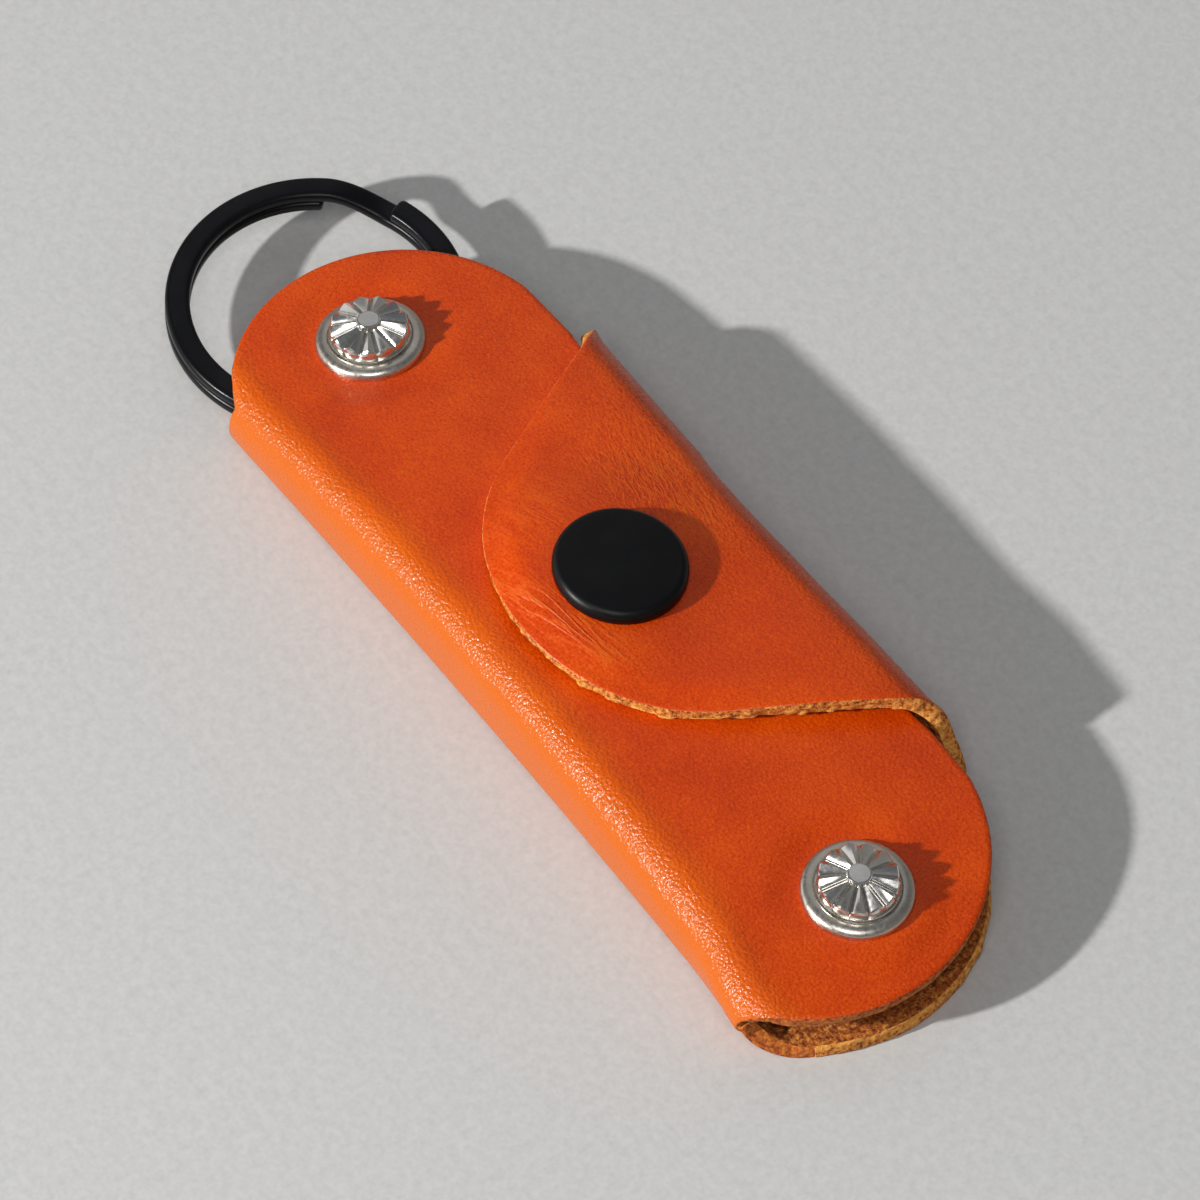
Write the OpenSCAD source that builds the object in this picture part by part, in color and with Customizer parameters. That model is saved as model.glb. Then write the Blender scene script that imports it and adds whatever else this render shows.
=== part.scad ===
// Folded leather key case: one sheet of leather makes the back panel, the spine, the bowed
// front panel and a flap that is held by a snap. A screw post at each end carries the keys,
// and a split ring hangs round one of the posts.
// X runs along the case, away from the split ring. Y runs from the spine to the flap's bend.
// The case lies on its flat back panel at z = 0, and the origin is below the middle of the
// whole footprint.

/* [Leather case] */
// Length of the leather case, end to end
case_l = 98; // [94:1:110]
// Distance between the two screws
screw_gap = 77; // [70:1:80]
// Thickness of the leather
leather_t = 1.6; // [1.4:0.1:1.8]
// Free height between the two panels, measured at the screws
key_gap = 4.5; // [4.3:0.1:6]
// How far the front panel bows up between the screws
bow_h = 2.6; // [1.6:0.1:3.2]
// Slope of the front panel beyond the screw beside the split ring, in degrees
ring_end_slope = 2; // [1:0.5:3]
// Distance from that screw to the end of the spine's wall
wall_end = 1.4; // [1:0.1:1.8]
// Radius of the rounded end beside the split ring
ring_end_r = 15.7; // [15.2:0.1:18]
// Radius of the other rounded end
far_end_r = 17.8; // [15.5:0.1:19]
// Distance from the line of the screws to the outside of the spine
spine_y = 14.6; // [14:0.1:15.2]
// Distance from the line of the screws to the front panel's free edge
edge_y = 15.5; // [15:0.1:17]
// Outer radius of the spine's two rounded shoulders
spine_r = 3.3; // [2.8:0.1:3.4]

/* [Flap] */
// Distance from the line of the screws to the flap's tip
flap_reach = 9.5; // [8.5:0.1:12]
// Radius of the flap's rounded tip
flap_tip_r = 20.5; // [17:0.5:24]
// Angle between the flap's straight sides and the short way across the case, in degrees
flap_side_angle = 28; // [20:1:34]
// Outer radius of the flap's bend
bend_r = 3; // [2.8:0.1:3.2]
// Height of the crease that the flap opens on
crease_z = 6.2; // [5.5:0.1:6.6]
// Free height under the flap at the snap
flap_lift = 1.5; // [1.3:0.1:2]
// Free height under the flap beside its bend
bend_lift = 0.6; // [0.6:0.1:0.9]

/* [Snap] */
// Diameter of the snap's cap
cap_d = 12.5; // [11.5:0.5:15]
// Height of the cap's rim
cap_rim_h = 0.55; // [0.5:0.05:0.8]
// Height of the cap's dome above its rim
cap_dome_h = 0.9; // [0.6:0.1:1.4]
// Wall of the cap and of the other sheet metal pieces in the snap
sheet_t = 0.35; // [0.3:0.05:0.4]
// Distance of the snap from the line of the screws
snap_y = 1.2; // [0:0.1:2]
// Diameter of the socket
socket_d = 9.4; // [9:0.1:10.5]
// Height of the socket
socket_h = 1.9; // [1.9:0.1:2.2]
// Diameter of the stud's flange and of the eyelet's flange
stud_d = 9.4; // [9:0.1:10.5]
// Diameter of the stud's knob
knob_d = 4.7; // [4.6:0.1:5]
// Height of the stud's knob
knob_h = 1.2; // [1.1:0.05:1.25]
// Wire diameter of the snap's ring spring
spring_wire = 0.5; // [0.4:0.05:0.55]

/* [Screws] */
// How far the posts and screws lean out towards the ends of the case, in degrees
post_lean = 5; // [3:0.5:6]
// Outer diameter of a post
post_d = 4.4; // [4.2:0.1:5]
// Diameter of a post's flat head
post_head_d = 8; // [7:0.5:9]
// Thickness of a post's flat head
post_head_t = 0.6; // [0.5:0.05:0.6]
// Diameter of a screw's threaded shank
shank_d = 3; // [2.6:0.1:3]
// Length of a screw's shank below the washer
shank_l = 4.8; // [3.5:0.1:5.5]
// Diameter of a washer
washer_d = 10.4; // [9.6:0.1:12]
// Height of a washer at its rim
washer_rim_h = 0.5; // [0.4:0.05:0.7]
// Height of a washer under the screw's head
washer_h = 0.95; // [0.8:0.05:1.2]
// Diameter of a screw's flower head
flower_d = 7.7; // [7:0.1:9]
// Height of a flower head at its rim
flower_rim_h = 0.55; // [0.4:0.05:0.8]
// Rise of the petals from the rim to the plain stud
flower_dome_h = 1.4; // [1.2:0.1:1.9]
// Number of petals on a flower head
petals = 13; // [10:1:18]
// Diameter of the plain stud in the middle of a flower head
eye_d = 2.3; // [2:0.1:2.8]

/* [Split ring] */
// Outer diameter of the split ring
ring_d = 28.5; // [24:0.5:32]
// Width of the ring's wire
ring_wire_w = 2.3; // [1.8:0.1:2.5]
// Height of the ring's wire
ring_wire_h = 1.25; // [1:0.05:1.3]
// Slope of the ring, up and away from its post, in degrees
ring_slope = 4; // [2:0.5:4.5]
// Angle at which the upper turn of the ring ends, in degrees
ring_end_angle = 113; // [100:1:130]
// Angle in which one turn of the ring crosses to the other, in degrees
ring_cross_span = 30; // [24:1:40]

/* [Hidden] */
$fn = 96;

// Clearance round soft pieces
soft_clear = 0.3;
// Clearance under a seated metal piece
seat_clear = 0.05;
// Clearance round a piece in its hole
hole_clear = 0.1;
// Clearance of a running fit
run_clear = 0.05;
// Clearance between the two turns of the ring
turn_clear = 0.06;
// Slit between the two halves of the bend at the crease
crease_slit = 0.1;
// Room round the knob in the socket, for the tilt of the flap as it comes off
knob_room = 0.6;
// How far the round ends reach past the free edge, so that they meet it in a faint corner
end_ease = 0.25;
// Overrun of every cut
over = 1;

// Heights of the bowed front panel
screw_x = screw_gap / 2;
screw_top = 2 * leather_t + key_gap;
top_z = screw_top + bow_h;
bow_r = (screw_x * screw_x + bow_h * bow_h) / (2 * bow_h);
bow_z = top_z - bow_r;
end_l = case_l / 2 - screw_x;

// Plan of the case: the middles of its round ends, and the place where the spine meets the
// far one
ring_end_x = ring_end_r - case_l / 2;
far_end_x = case_l / 2 - far_end_r;
far_end_side = spine_y + edge_y + end_ease - far_end_r;
spine_end_x = far_end_x + sqrt(far_end_r * far_end_r - far_end_side * far_end_side);

// Plan of the flap
bend_y = edge_y + soft_clear + 2 * hole_clear + leather_t;
tip_y = -flap_reach + flap_tip_r;
side_x = flap_tip_r * cos(flap_side_angle);
side_y = tip_y - flap_tip_r * sin(flap_side_angle);
bend_x = side_x + (bend_y - side_y) * tan(flap_side_angle);
hinge_z = crease_z + crease_slit / 2;

// Distances from the axis of the bow: the front panel's skin, the flap beside its bend and
// the flap at the snap
bend_skin_r = bow_r + bend_lift + leather_t;
snap_skin_r = bow_r + flap_lift + leather_t;
snap_flat = cap_d / 2 + seat_clear;

// Split ring: its near side lies on the back panel, it is pulled out against its post, and it
// slopes up and away from there. It turns about an upright line through the post.
ring_in_r = ring_d / 2 - ring_wire_w;
ring_pitch = ring_wire_h + turn_clear;
ring_shift = ring_in_r - post_d / 2 - soft_clear;
ring_drop = (ring_d / 2 - ring_shift) * sin(ring_slope);
ring_z = leather_t + hole_clear + ring_drop + ring_wire_h / 2;
// Roundness of the wire's corners
wire_corner_share = 0.4;
wire_r = ring_wire_h * wire_corner_share;
ring_pivot_x = -screw_x + (screw_top - ring_z - ring_pitch / 2) * tan(post_lean);
// How far the stretch that crosses over runs into the two turns
ring_joint = 1.5;

// Middle of the footprint
ring_reach = (ring_shift + ring_d / 2) * cos(ring_slope) - (ring_pitch + ring_wire_h / 2) * sin(ring_slope);
mid_x = (case_l / 2 + ring_pivot_x - ring_reach) / 2;
mid_y = (bend_y - spine_y) / 2;

// Sizes along a screw's own axis, counted from the front panel's skin
washer_z = -hole_clear;
head_z = washer_z + washer_h;
post_foot_z = -(screw_top - post_head_d / 2 * sin(post_lean)) / cos(post_lean);
post_top_z = washer_z - hole_clear;
// Roundness of a washer's rim
washer_edge_share = 0.45;
washer_edge_r = washer_rim_h * washer_edge_share;
// How far the plain stud stands above the petals of a flower head
eye_h = 0.35;
// Depth of the grooves at the rim of a flower head
groove_share = 0.8;
groove_h = flower_rim_h * groove_share;
// Direction of a flower head's first petal
petal_turn = -35;

// Sizes of the snap, counted from the front panel's skin
socket_z = hole_clear;
cap_z = flap_lift + leather_t + seat_clear;
// Diameter of the cap's tube, and of its flared end
tube_d = 3.4;
flare_d = 4.6;
// Waist of the stud's knob, which the spring closes on
knob_waist_share = 0.9;
spring_z = socket_z + sheet_t + hole_clear + spring_wire / 2;
// Opening of the ring spring
spring_gap_angle = 40;
spring_ring_r = knob_d / 2 + hole_clear + soft_clear + spring_wire / 2;

echo(mid_x = mid_x, mid_y = mid_y, top_z = top_z, bow_r = bow_r);
echo(hinge_y = bend_y - mid_y, hinge_z = hinge_z, ring_pivot_x = ring_pivot_x - mid_x);
echo(bend_x = bend_x, screw_top = screw_top, post_foot_z = post_foot_z);

// Moves the whole case so that the origin lies below the middle of its footprint
module in_frame() {
    translate([-mid_x, -mid_y, 0]) children();
}

// Plan of the panels: round ends on a band that is wider than the case, so that the panels
// keep their own straight edges
module panel_plan() {
    translate([ring_end_x, edge_y + end_ease - ring_end_r]) circle(r = ring_end_r);
    translate([far_end_x, edge_y + end_ease - far_end_r]) circle(r = far_end_r);
    translate([ring_end_x, -spine_y - over])
        square([far_end_x - ring_end_x, spine_y + edge_y + 2 * over]);
}

// Cuts its children to the plan of the panels
module within_plan() {
    intersection() {
        children();
        translate([0, 0, -over]) linear_extrude(top_z + 2 * over) panel_plan();
    }
}

// Plan of the flap: a round tip and straight sides that spread towards the bend
module flap_plan() {
    intersection() {
        translate([0, tip_y]) circle(r = flap_tip_r);
        translate([-flap_tip_r, -flap_reach]) square([2 * flap_tip_r, flap_tip_r]);
    }
    polygon([[-side_x, side_y], [side_x, side_y], [bend_x, bend_y], [-bend_x, bend_y]]);
}

// Turns a section round the axis of the bow, from half length low_x to half length high_x. The
// section's x is the distance from that axis and its y is the place across the case.
module bowed(low_x, high_x) {
    translate([0, 0, bow_z])
        rotate([90, 0, 0])
            rotate([0, 0, 90 - asin(high_x / bow_r)])
                rotate_extrude(angle = asin(low_x / bow_r) + asin(high_x / bow_r), $fn = 360)
                    mirror([0, 1]) children();
}

// Quarter of a ring of leather in a section, with its centre at the origin
module quarter(outer_r, x_side, y_side) {
    intersection() {
        difference() {
            circle(r = outer_r);
            circle(r = outer_r - leather_t);
        }
        translate([min(x_side, 0) * outer_r, min(y_side, 0) * outer_r]) square(outer_r);
    }
}

// Places its children on the axis of one screw, where it leaves the front panel's skin
module on_screw(side) {
    translate([side * screw_x, 0, screw_top]) rotate([0, side * post_lean, 0]) children();
}

// Section of the front panel with the spine's upper shoulder
module front_section() {
    translate([bow_r - leather_t, -spine_y + spine_r])
        square([leather_t, spine_y - spine_r + edge_y]);
    translate([bow_r - spine_r, -spine_y + spine_r]) quarter(spine_r, 1, -1);
}

// Front panel. Beyond the screw beside the split ring the bow goes over into a straight
// stretch, which leaves the ring its room.
module front_panel() {
    bowed(screw_x + over, case_l / 2 + over) front_section();
    translate([-screw_x, 0, screw_top]) rotate([0, -ring_end_slope, 0])
        translate([over, 0, -bow_r]) rotate([0, -90, 0])
            linear_extrude(end_l + 2 * over) front_section();
}

// Wall of the spine, between the two shoulders. It stops just short of the far end.
module spine_wall() {
    translate([0, -spine_y + leather_t, 0]) rotate([90, 0, 0]) linear_extrude(leather_t)
        intersection() {
            union() {
                translate([0, bow_z]) circle(r = bow_r - spine_r, $fn = 360);
                translate([-screw_x, screw_top]) rotate([0, 0, ring_end_slope])
                    translate([-end_l - over, -top_z - spine_r]) square([end_l + 2 * over, top_z]);
            }
            translate([-case_l / 2, spine_r]) square([case_l / 2 + spine_end_x - over, top_z]);
        }
}

// Back panel with the spine's lower shoulder
module back_panel() {
    translate([-case_l / 2, -spine_y + spine_r, 0])
        cube([case_l, spine_y - spine_r + edge_y, leather_t]);
    translate([-case_l / 2, -spine_y + spine_r, spine_r])
        rotate([90, 0, 90]) linear_extrude(case_l) quarter(spine_r, -1, -1);
}

// Lower half of the flap's bend, up to the crease
module lower_bend() {
    translate([-bend_x, 0, 0]) cube([2 * bend_x, bend_y - bend_r, leather_t]);
    translate([-bend_x, bend_y - bend_r, bend_r])
        rotate([90, 0, 90]) linear_extrude(2 * bend_x) quarter(bend_r, 1, -1);
    translate([-bend_x, bend_y - leather_t, bend_r])
        cube([2 * bend_x, leather_t, crease_z - bend_r]);
}

// The sheet of leather up to the flap's crease
module leather_body() {
    color("chocolate") in_frame() difference() {
        union() {
            within_plan() front_panel();
            within_plan() back_panel();
            within_plan() spine_wall();
            lower_bend();
        }
        for (side = [-1, 1]) on_screw(side) {
            translate([0, 0, post_foot_z - over])
                cylinder(d = post_d + 2 * hole_clear, h = screw_top + 2 * over);
            translate([0, 0, washer_z - seat_clear])
                cylinder(d = washer_d + 2 * hole_clear, h = over);
            translate([0, 0, post_foot_z - over])
                cylinder(d = post_head_d + 2 * hole_clear, h = post_head_t + over + seat_clear);
        }
        translate([0, snap_y, top_z - leather_t - over])
            cylinder(d = tube_d + 2 * hole_clear, h = leather_t + 2 * over);
        translate([0, snap_y, top_z - sheet_t - 2 * seat_clear])
            cylinder(d = stud_d + 2 * hole_clear, h = over);
        translate([-screw_x - wall_end - case_l, -spine_y - over, leather_t + seat_clear])
            cube([case_l, over + spine_r - soft_clear, screw_top - 2 * leather_t - seat_clear]);
    }
}

// The flap above its crease: it rests on the front panel's edge and rises to the snap. The
// leg that goes down beside the case is cut level at the crease.
module leather_flap() {
    leg_r = bend_skin_r - bend_r;
    leg_h = bow_z + leg_r - crease_z + over;
    color("peru") in_frame() difference() {
        intersection() {
            bowed(bend_x + over, bend_x + over) {
                polygon([
                    [snap_skin_r - leather_t, -flap_reach - over],
                    [snap_skin_r, -flap_reach - over],
                    [snap_skin_r, snap_y + snap_flat],
                    [bend_skin_r, bend_y - bend_r],
                    [bend_skin_r - leather_t, bend_y - bend_r],
                    [snap_skin_r - leather_t, snap_y + snap_flat]
                ]);
                translate([leg_r, bend_y - bend_r]) quarter(bend_r, 1, 1);
                translate([leg_r - leg_h, bend_y - leather_t]) square([leg_h, leather_t]);
            }
            translate([0, 0, crease_z + crease_slit]) linear_extrude(top_z) flap_plan();
        }
        translate([0, snap_y, top_z])
            cylinder(d = tube_d + 2 * hole_clear, h = flap_lift + leather_t + over);
        translate([0, snap_y, top_z])
            cylinder(d = socket_d + 2 * hole_clear, h = socket_z + socket_h + seat_clear);
    }
}

// Black cap of the snap: a low dome on a rim, and a tube that goes down through the flap into
// the socket, where its flared end holds the socket
module snap_cap() {
    dome_r = (cap_d * cap_d / 4 + cap_dome_h * cap_dome_h) / (2 * cap_dome_h);
    tube_low = socket_z + socket_h - 2 * sheet_t - cap_z;
    color([0.08, 0.08, 0.09]) in_frame() translate([0, snap_y, top_z + cap_z]) {
        difference() {
            union() {
                cylinder(d = cap_d, h = cap_rim_h);
                intersection() {
                    translate([0, 0, cap_rim_h + cap_dome_h - dome_r]) sphere(r = dome_r, $fn = 180);
                    translate([0, 0, cap_rim_h]) cylinder(d = cap_d, h = cap_dome_h);
                }
            }
            translate([0, 0, -over]) cylinder(d = cap_d - 2 * sheet_t, h = over + cap_rim_h - sheet_t);
        }
        difference() {
            union() {
                translate([0, 0, tube_low]) cylinder(d = tube_d, h = cap_rim_h - tube_low);
                translate([0, 0, tube_low]) cylinder(d = flare_d, h = sheet_t - seat_clear);
            }
            translate([0, 0, tube_low - over])
                cylinder(d = tube_d - 2 * sheet_t, h = over - tube_low - sheet_t);
        }
    }
}

// Socket of the snap: a shallow can with an opening for the knob
module snap_socket() {
    knob_hole_d = knob_d + 2 * knob_room;
    color("silver") in_frame() translate([0, snap_y, top_z + socket_z]) difference() {
        cylinder(d = socket_d, h = socket_h);
        translate([0, 0, -over]) cylinder(d = knob_hole_d, h = 2 * over);
        translate([0, 0, sheet_t]) cylinder(d = socket_d - 2 * sheet_t, h = socket_h - 2 * sheet_t);
        cylinder(d = tube_d + 2 * hole_clear, h = socket_h + over);
    }
}

// Open ring of spring wire in the socket, which grips the knob
module snap_spring() {
    color("silver") in_frame() translate([0, snap_y, top_z + spring_z])
        rotate([0, 0, 90 + spring_gap_angle / 2])
            rotate_extrude(angle = 360 - spring_gap_angle)
                translate([spring_ring_r, 0]) circle(d = spring_wire, $fn = 24);
}

// Stud of the snap: a flange let into the skin of the front panel and a knob with a waist
module snap_stud() {
    waist_d = knob_d * knob_waist_share;
    color("silver") in_frame() translate([0, snap_y, top_z - sheet_t - seat_clear]) difference() {
        union() {
            cylinder(d = stud_d, h = sheet_t);
            cylinder(d = waist_d, h = sheet_t + knob_h);
            translate([0, 0, sheet_t + knob_h / 2]) cylinder(d = knob_d, h = knob_h / 2);
        }
        translate([0, 0, -over]) cylinder(d = tube_d, h = over + knob_h);
    }
}

// Eyelet of the snap: a flange under the front panel and a tube up into the knob
module snap_eyelet() {
    color("silver") in_frame() translate([0, snap_y, top_z - leather_t - seat_clear - sheet_t])
        difference() {
            union() {
                cylinder(d = stud_d, h = sheet_t);
                cylinder(d = tube_d - 2 * run_clear, h = leather_t + knob_h);
            }
            translate([0, 0, -over])
                cylinder(d = tube_d - 2 * run_clear - 2 * sheet_t, h = leather_t + knob_h + 2 * over);
        }
}

// Screw post: a tube with a flat head sunk into the back panel
module post(side) {
    color("gainsboro") in_frame() on_screw(side) difference() {
        union() {
            translate([0, 0, post_foot_z]) cylinder(d = post_head_d, h = post_head_t);
            translate([0, 0, post_foot_z]) cylinder(d = post_d, h = post_top_z - post_foot_z);
        }
        translate([0, 0, post_foot_z + post_head_t])
            cylinder(d = shank_d + 2 * run_clear, h = post_top_z - post_foot_z);
    }
}

// Raised washer with a rounded rim, under the head of a screw
module washer(side) {
    slope_r = washer_d / 2 - washer_edge_r;
    color("silver") in_frame() on_screw(side) translate([0, 0, washer_z]) rotate_extrude()
        difference() {
            union() {
                square([slope_r, washer_rim_h - washer_edge_r]);
                translate([slope_r, washer_edge_r]) circle(r = washer_edge_r, $fn = 32);
                translate([slope_r, washer_rim_h - washer_edge_r]) circle(r = washer_edge_r, $fn = 32);
                polygon([
                    [0, 0], [slope_r, 0], [slope_r, washer_rim_h],
                    [flower_d / 2 + hole_clear, washer_h], [0, washer_h]
                ]);
            }
            translate([-over, -over]) square([shank_d / 2 + hole_clear + over, washer_h + 2 * over]);
        }
}

// Screw with a flower head. Grooves with flat sides run down from the plain stud in the
// middle, and what they leave between them are the petals, each with a sharp ridge.
module flower_screw(side) {
    tip_r = flower_d / 2;
    apex_z = flower_rim_h + flower_dome_h * flower_d / (flower_d - eye_d);
    groove_slope = atan((apex_z - flower_rim_h + groove_h) / tip_r);
    groove_depth = flower_rim_h - apex_z + tip_r * cos(180 / petals) * tan(groove_slope);
    groove_tall = flower_rim_h + flower_dome_h;
    groove_half_w = groove_tall * tip_r * sin(180 / petals) / (groove_depth * cos(groove_slope));
    color("silver") in_frame() on_screw(side) translate([0, 0, head_z]) {
        difference() {
            cylinder(d = flower_d, h = flower_rim_h + flower_dome_h);
            for (i = [0 : petals - 1]) rotate([0, 0, petal_turn + (i + 1 / 2) * 360 / petals])
                translate([0, 0, apex_z]) rotate([0, 90 + groove_slope, 0]) linear_extrude(flower_d)
                    polygon([
                        [0, 0],
                        [-groove_tall, groove_half_w],
                        [-groove_tall, -groove_half_w]
                    ]);
        }
        cylinder(d = eye_d, h = flower_rim_h + flower_dome_h + eye_h);
        translate([0, 0, washer_z - head_z - shank_l]) cylinder(d = shank_d, h = shank_l + washer_h);
    }
}

// Section of the ring's wire: a rectangle with round corners, centred on the wire
module wire_section() {
    square([ring_wire_w - 2 * wire_r, ring_wire_h], center = true);
    square([ring_wire_w, ring_wire_h - 2 * wire_r], center = true);
    for (x = [-1, 1]) for (y = [-1, 1])
        translate([x * (ring_wire_w / 2 - wire_r), y * (ring_wire_h / 2 - wire_r)])
            circle(r = wire_r, $fn = 24);
}

// One stretch of the ring's wire round its middle, starting at an angle and a height
module ring_turn(start, span, z) {
    translate([0, 0, z]) rotate([0, 0, start]) rotate_extrude(angle = span)
        translate([ring_in_r + ring_wire_w / 2, 0]) wire_section();
}

// Split ring: two turns of one flat wire. Between the two ends a tilted stretch takes the
// wire from the upper turn down to the lower one.
module split_ring() {
    turn_span = 360 - ring_cross_span;
    half_span = ring_cross_span / 2;
    middle_r = ring_in_r + ring_wire_w / 2;
    tilt = asin(ring_pitch / 2 / (middle_r * sin(half_span)));
    color([0.12, 0.12, 0.13]) in_frame() translate([ring_pivot_x, 0, ring_z])
        rotate([0, ring_slope, 0]) translate([-ring_shift, 0, 0]) {
        ring_turn(ring_end_angle - turn_span, turn_span, ring_pitch);
        ring_turn(ring_end_angle - turn_span, turn_span, 0);
        translate([0, 0, ring_pitch / 2]) rotate([0, 0, ring_end_angle + half_span])
            rotate([tilt, 0, 0]) ring_turn(-half_span - ring_joint, ring_cross_span + 2 * ring_joint, 0);
    }
}

leather_body();
leather_flap();
snap_cap();
snap_socket();
snap_spring();
snap_stud();
snap_eyelet();
post(-1);  // ring_end_post
post(1);  // far_end_post
washer(-1);  // ring_end_washer
washer(1);  // far_end_washer
flower_screw(-1);  // ring_end_screw
flower_screw(1);  // far_end_screw
split_ring();
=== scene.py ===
import math

import bpy
import numpy as np
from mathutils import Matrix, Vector


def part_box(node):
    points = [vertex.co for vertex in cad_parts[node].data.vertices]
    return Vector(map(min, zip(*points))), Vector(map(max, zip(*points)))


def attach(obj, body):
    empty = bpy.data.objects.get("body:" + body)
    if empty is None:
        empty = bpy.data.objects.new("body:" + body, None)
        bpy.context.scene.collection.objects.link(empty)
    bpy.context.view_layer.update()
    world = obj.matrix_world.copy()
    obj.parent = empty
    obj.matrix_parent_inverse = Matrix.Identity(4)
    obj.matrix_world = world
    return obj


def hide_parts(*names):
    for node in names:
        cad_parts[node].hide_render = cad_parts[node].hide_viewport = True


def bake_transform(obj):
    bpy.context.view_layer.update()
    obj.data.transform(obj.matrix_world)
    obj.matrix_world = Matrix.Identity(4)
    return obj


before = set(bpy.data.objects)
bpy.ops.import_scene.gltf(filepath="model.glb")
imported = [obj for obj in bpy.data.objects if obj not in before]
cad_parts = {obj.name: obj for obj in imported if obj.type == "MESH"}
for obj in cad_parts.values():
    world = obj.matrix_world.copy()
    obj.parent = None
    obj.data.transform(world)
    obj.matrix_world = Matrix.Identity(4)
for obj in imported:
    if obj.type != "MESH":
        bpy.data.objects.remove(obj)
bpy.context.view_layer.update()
bodyLow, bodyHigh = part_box("leather_body")
mm = 0.001
spineToScrews = 14.6 * mm

# middle of the leather case: halfway between its ends, on the line of the screws, on the floor
home = np.array([(bodyLow.x + bodyHigh.x) / 2, bodyLow.y + spineToScrews, 0.0])
flatUnit = 100  # mm of flat leather to one unit of its UV map
print("frame loaded")


# numbers and meshes
def srgb(text):
    # an sRGB hex colour as linear red, green, blue and alpha
    parts = [int(text[i:i + 2], 16) / 255 for i in (1, 3, 5)]
    return [c / 12.92 if c <= 0.04045 else ((c + 0.055) / 1.055) ** 2.4 for c in parts] + [1.0]


def ease(value, start=0, length=1):
    # smooth step from 0 to 1, which begins at start and takes the given length
    t = np.clip((value - start) / length, 0, 1)
    return t * t * (3 - 2 * t)


def unit(v):
    return v / np.maximum(np.linalg.norm(v, axis=-1, keepdims=True), 1e-12)


def leanAlong(degrees):
    # a turn about the y axis: what stands upright leans towards +x
    cos, sin = math.cos(math.radians(degrees)), math.sin(math.radians(degrees))
    return np.array([[cos, 0, sin], [0, 1, 0], [-sin, 0, cos]])


def leanAcross(degrees):
    # a turn about the x axis: what stands upright leans towards +y
    cos, sin = math.cos(math.radians(degrees)), math.sin(math.radians(degrees))
    return np.array([[1, 0, 0], [0, cos, sin], [0, -sin, cos]])


def aroundAxis(radius, height, angle):
    # points at a radius and a height, turned by an angle about the upright axis, row by row
    x, y = radius * np.cos(angle), radius * np.sin(angle)
    return np.stack([x, y, np.broadcast_to(height, x.shape)], 2).reshape(-1, 3)


def gridQuads(rows, cols, closeCols=False):
    # quads between the neighbours of a grid of points that is counted row by row
    row, col = np.meshgrid(np.arange(rows - 1), np.arange(cols if closeCols else cols - 1), indexing="ij")
    row, col = row.ravel(), col.ravel()
    right = (col + 1) % cols
    return np.c_[row * cols + col, row * cols + right, (row + 1) * cols + right, (row + 1) * cols + col]


def usedOnly(faces):
    # the points that faces use, and the faces counted in those points alone
    used, faces = np.unique(faces, return_inverse=True)
    return used, faces.reshape(-1, 4)


def closePoles(faces, ids):
    # points of one id become one; a quad whose first side closes up is turned into a triangle
    faces = ids[faces]
    closed = faces[:, 0] == faces[:, 1]
    faces[closed] = faces[closed][:, [1, 2, 3, 3]]
    return usedOnly(faces)


def makePiece(name, points, faces, materials, slots=None, sharp=None):
    # points in metres in the shared frame; faces are quads, or triangles where the last two are equal
    mesh = bpy.data.meshes.new(name)
    quads = faces[:, 2] != faces[:, 3]
    sizes = np.where(quads, 4, 3)
    keep = np.ones(faces.shape, bool)
    keep[~quads, 3] = False
    loops = faces[keep]
    starts = np.r_[0, np.cumsum(sizes)[:-1]]
    mesh.vertices.add(len(points))
    mesh.vertices.foreach_set("co", points.astype(np.float32).ravel())
    mesh.loops.add(len(loops))
    mesh.loops.foreach_set("vertex_index", loops.astype(np.int32))
    mesh.polygons.add(len(faces))
    mesh.polygons.foreach_set("loop_start", starts.astype(np.int32))
    mesh.polygons.foreach_set("loop_total", sizes.astype(np.int32))
    mesh.polygons.foreach_set("use_smooth", np.ones(len(faces), bool))
    for material in materials:
        mesh.materials.append(material)
    if slots is not None:
        mesh.polygons.foreach_set("material_index", slots.astype(np.int32))
    mesh.update(calc_edges=True)
    mesh.validate()
    if sharp is not None:
        mesh.set_sharp_from_angle(angle=math.radians(sharp))
    piece = bpy.data.objects.new(name, mesh)
    bpy.context.scene.collection.objects.link(piece)
    return piece


def addFloat(piece, name, values):
    # one number for each point, for the materials to read
    layer = piece.data.attributes.new(name, "FLOAT", "POINT")
    layer.data.foreach_set("value", values.astype(np.float32))


def addMap(piece, name, flat):
    # UV map of the flat sheet, from one pair of lengths in mm for each point
    loops = np.empty(len(piece.data.loops), np.int32)
    piece.data.loops.foreach_get("vertex_index", loops)
    layer = piece.data.uv_layers.new(name=name)
    layer.data.foreach_set("uv", (flat[loops] / flatUnit).astype(np.float32).ravel())


def revolve(name, profile, place, materials, steps=96, sharp=40):
    # a profile of (radius, height) turned about its axis; radius 0 at an end closes the pole
    angle = np.arange(steps) * 2 * np.pi / steps
    radius, height = np.array(profile, float).T
    points = aroundAxis(radius[:, None], height[:, None], angle)
    ids = np.arange(len(points))
    for row in (0, len(profile) - 1):
        if radius[row] < 1e-6:
            ids[row * steps:(row + 1) * steps] = row * steps
    used, faces = closePoles(gridQuads(len(profile), steps, closeCols=True), ids)
    return makePiece(name, place(points[used]), faces, materials, sharp=sharp)


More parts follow.
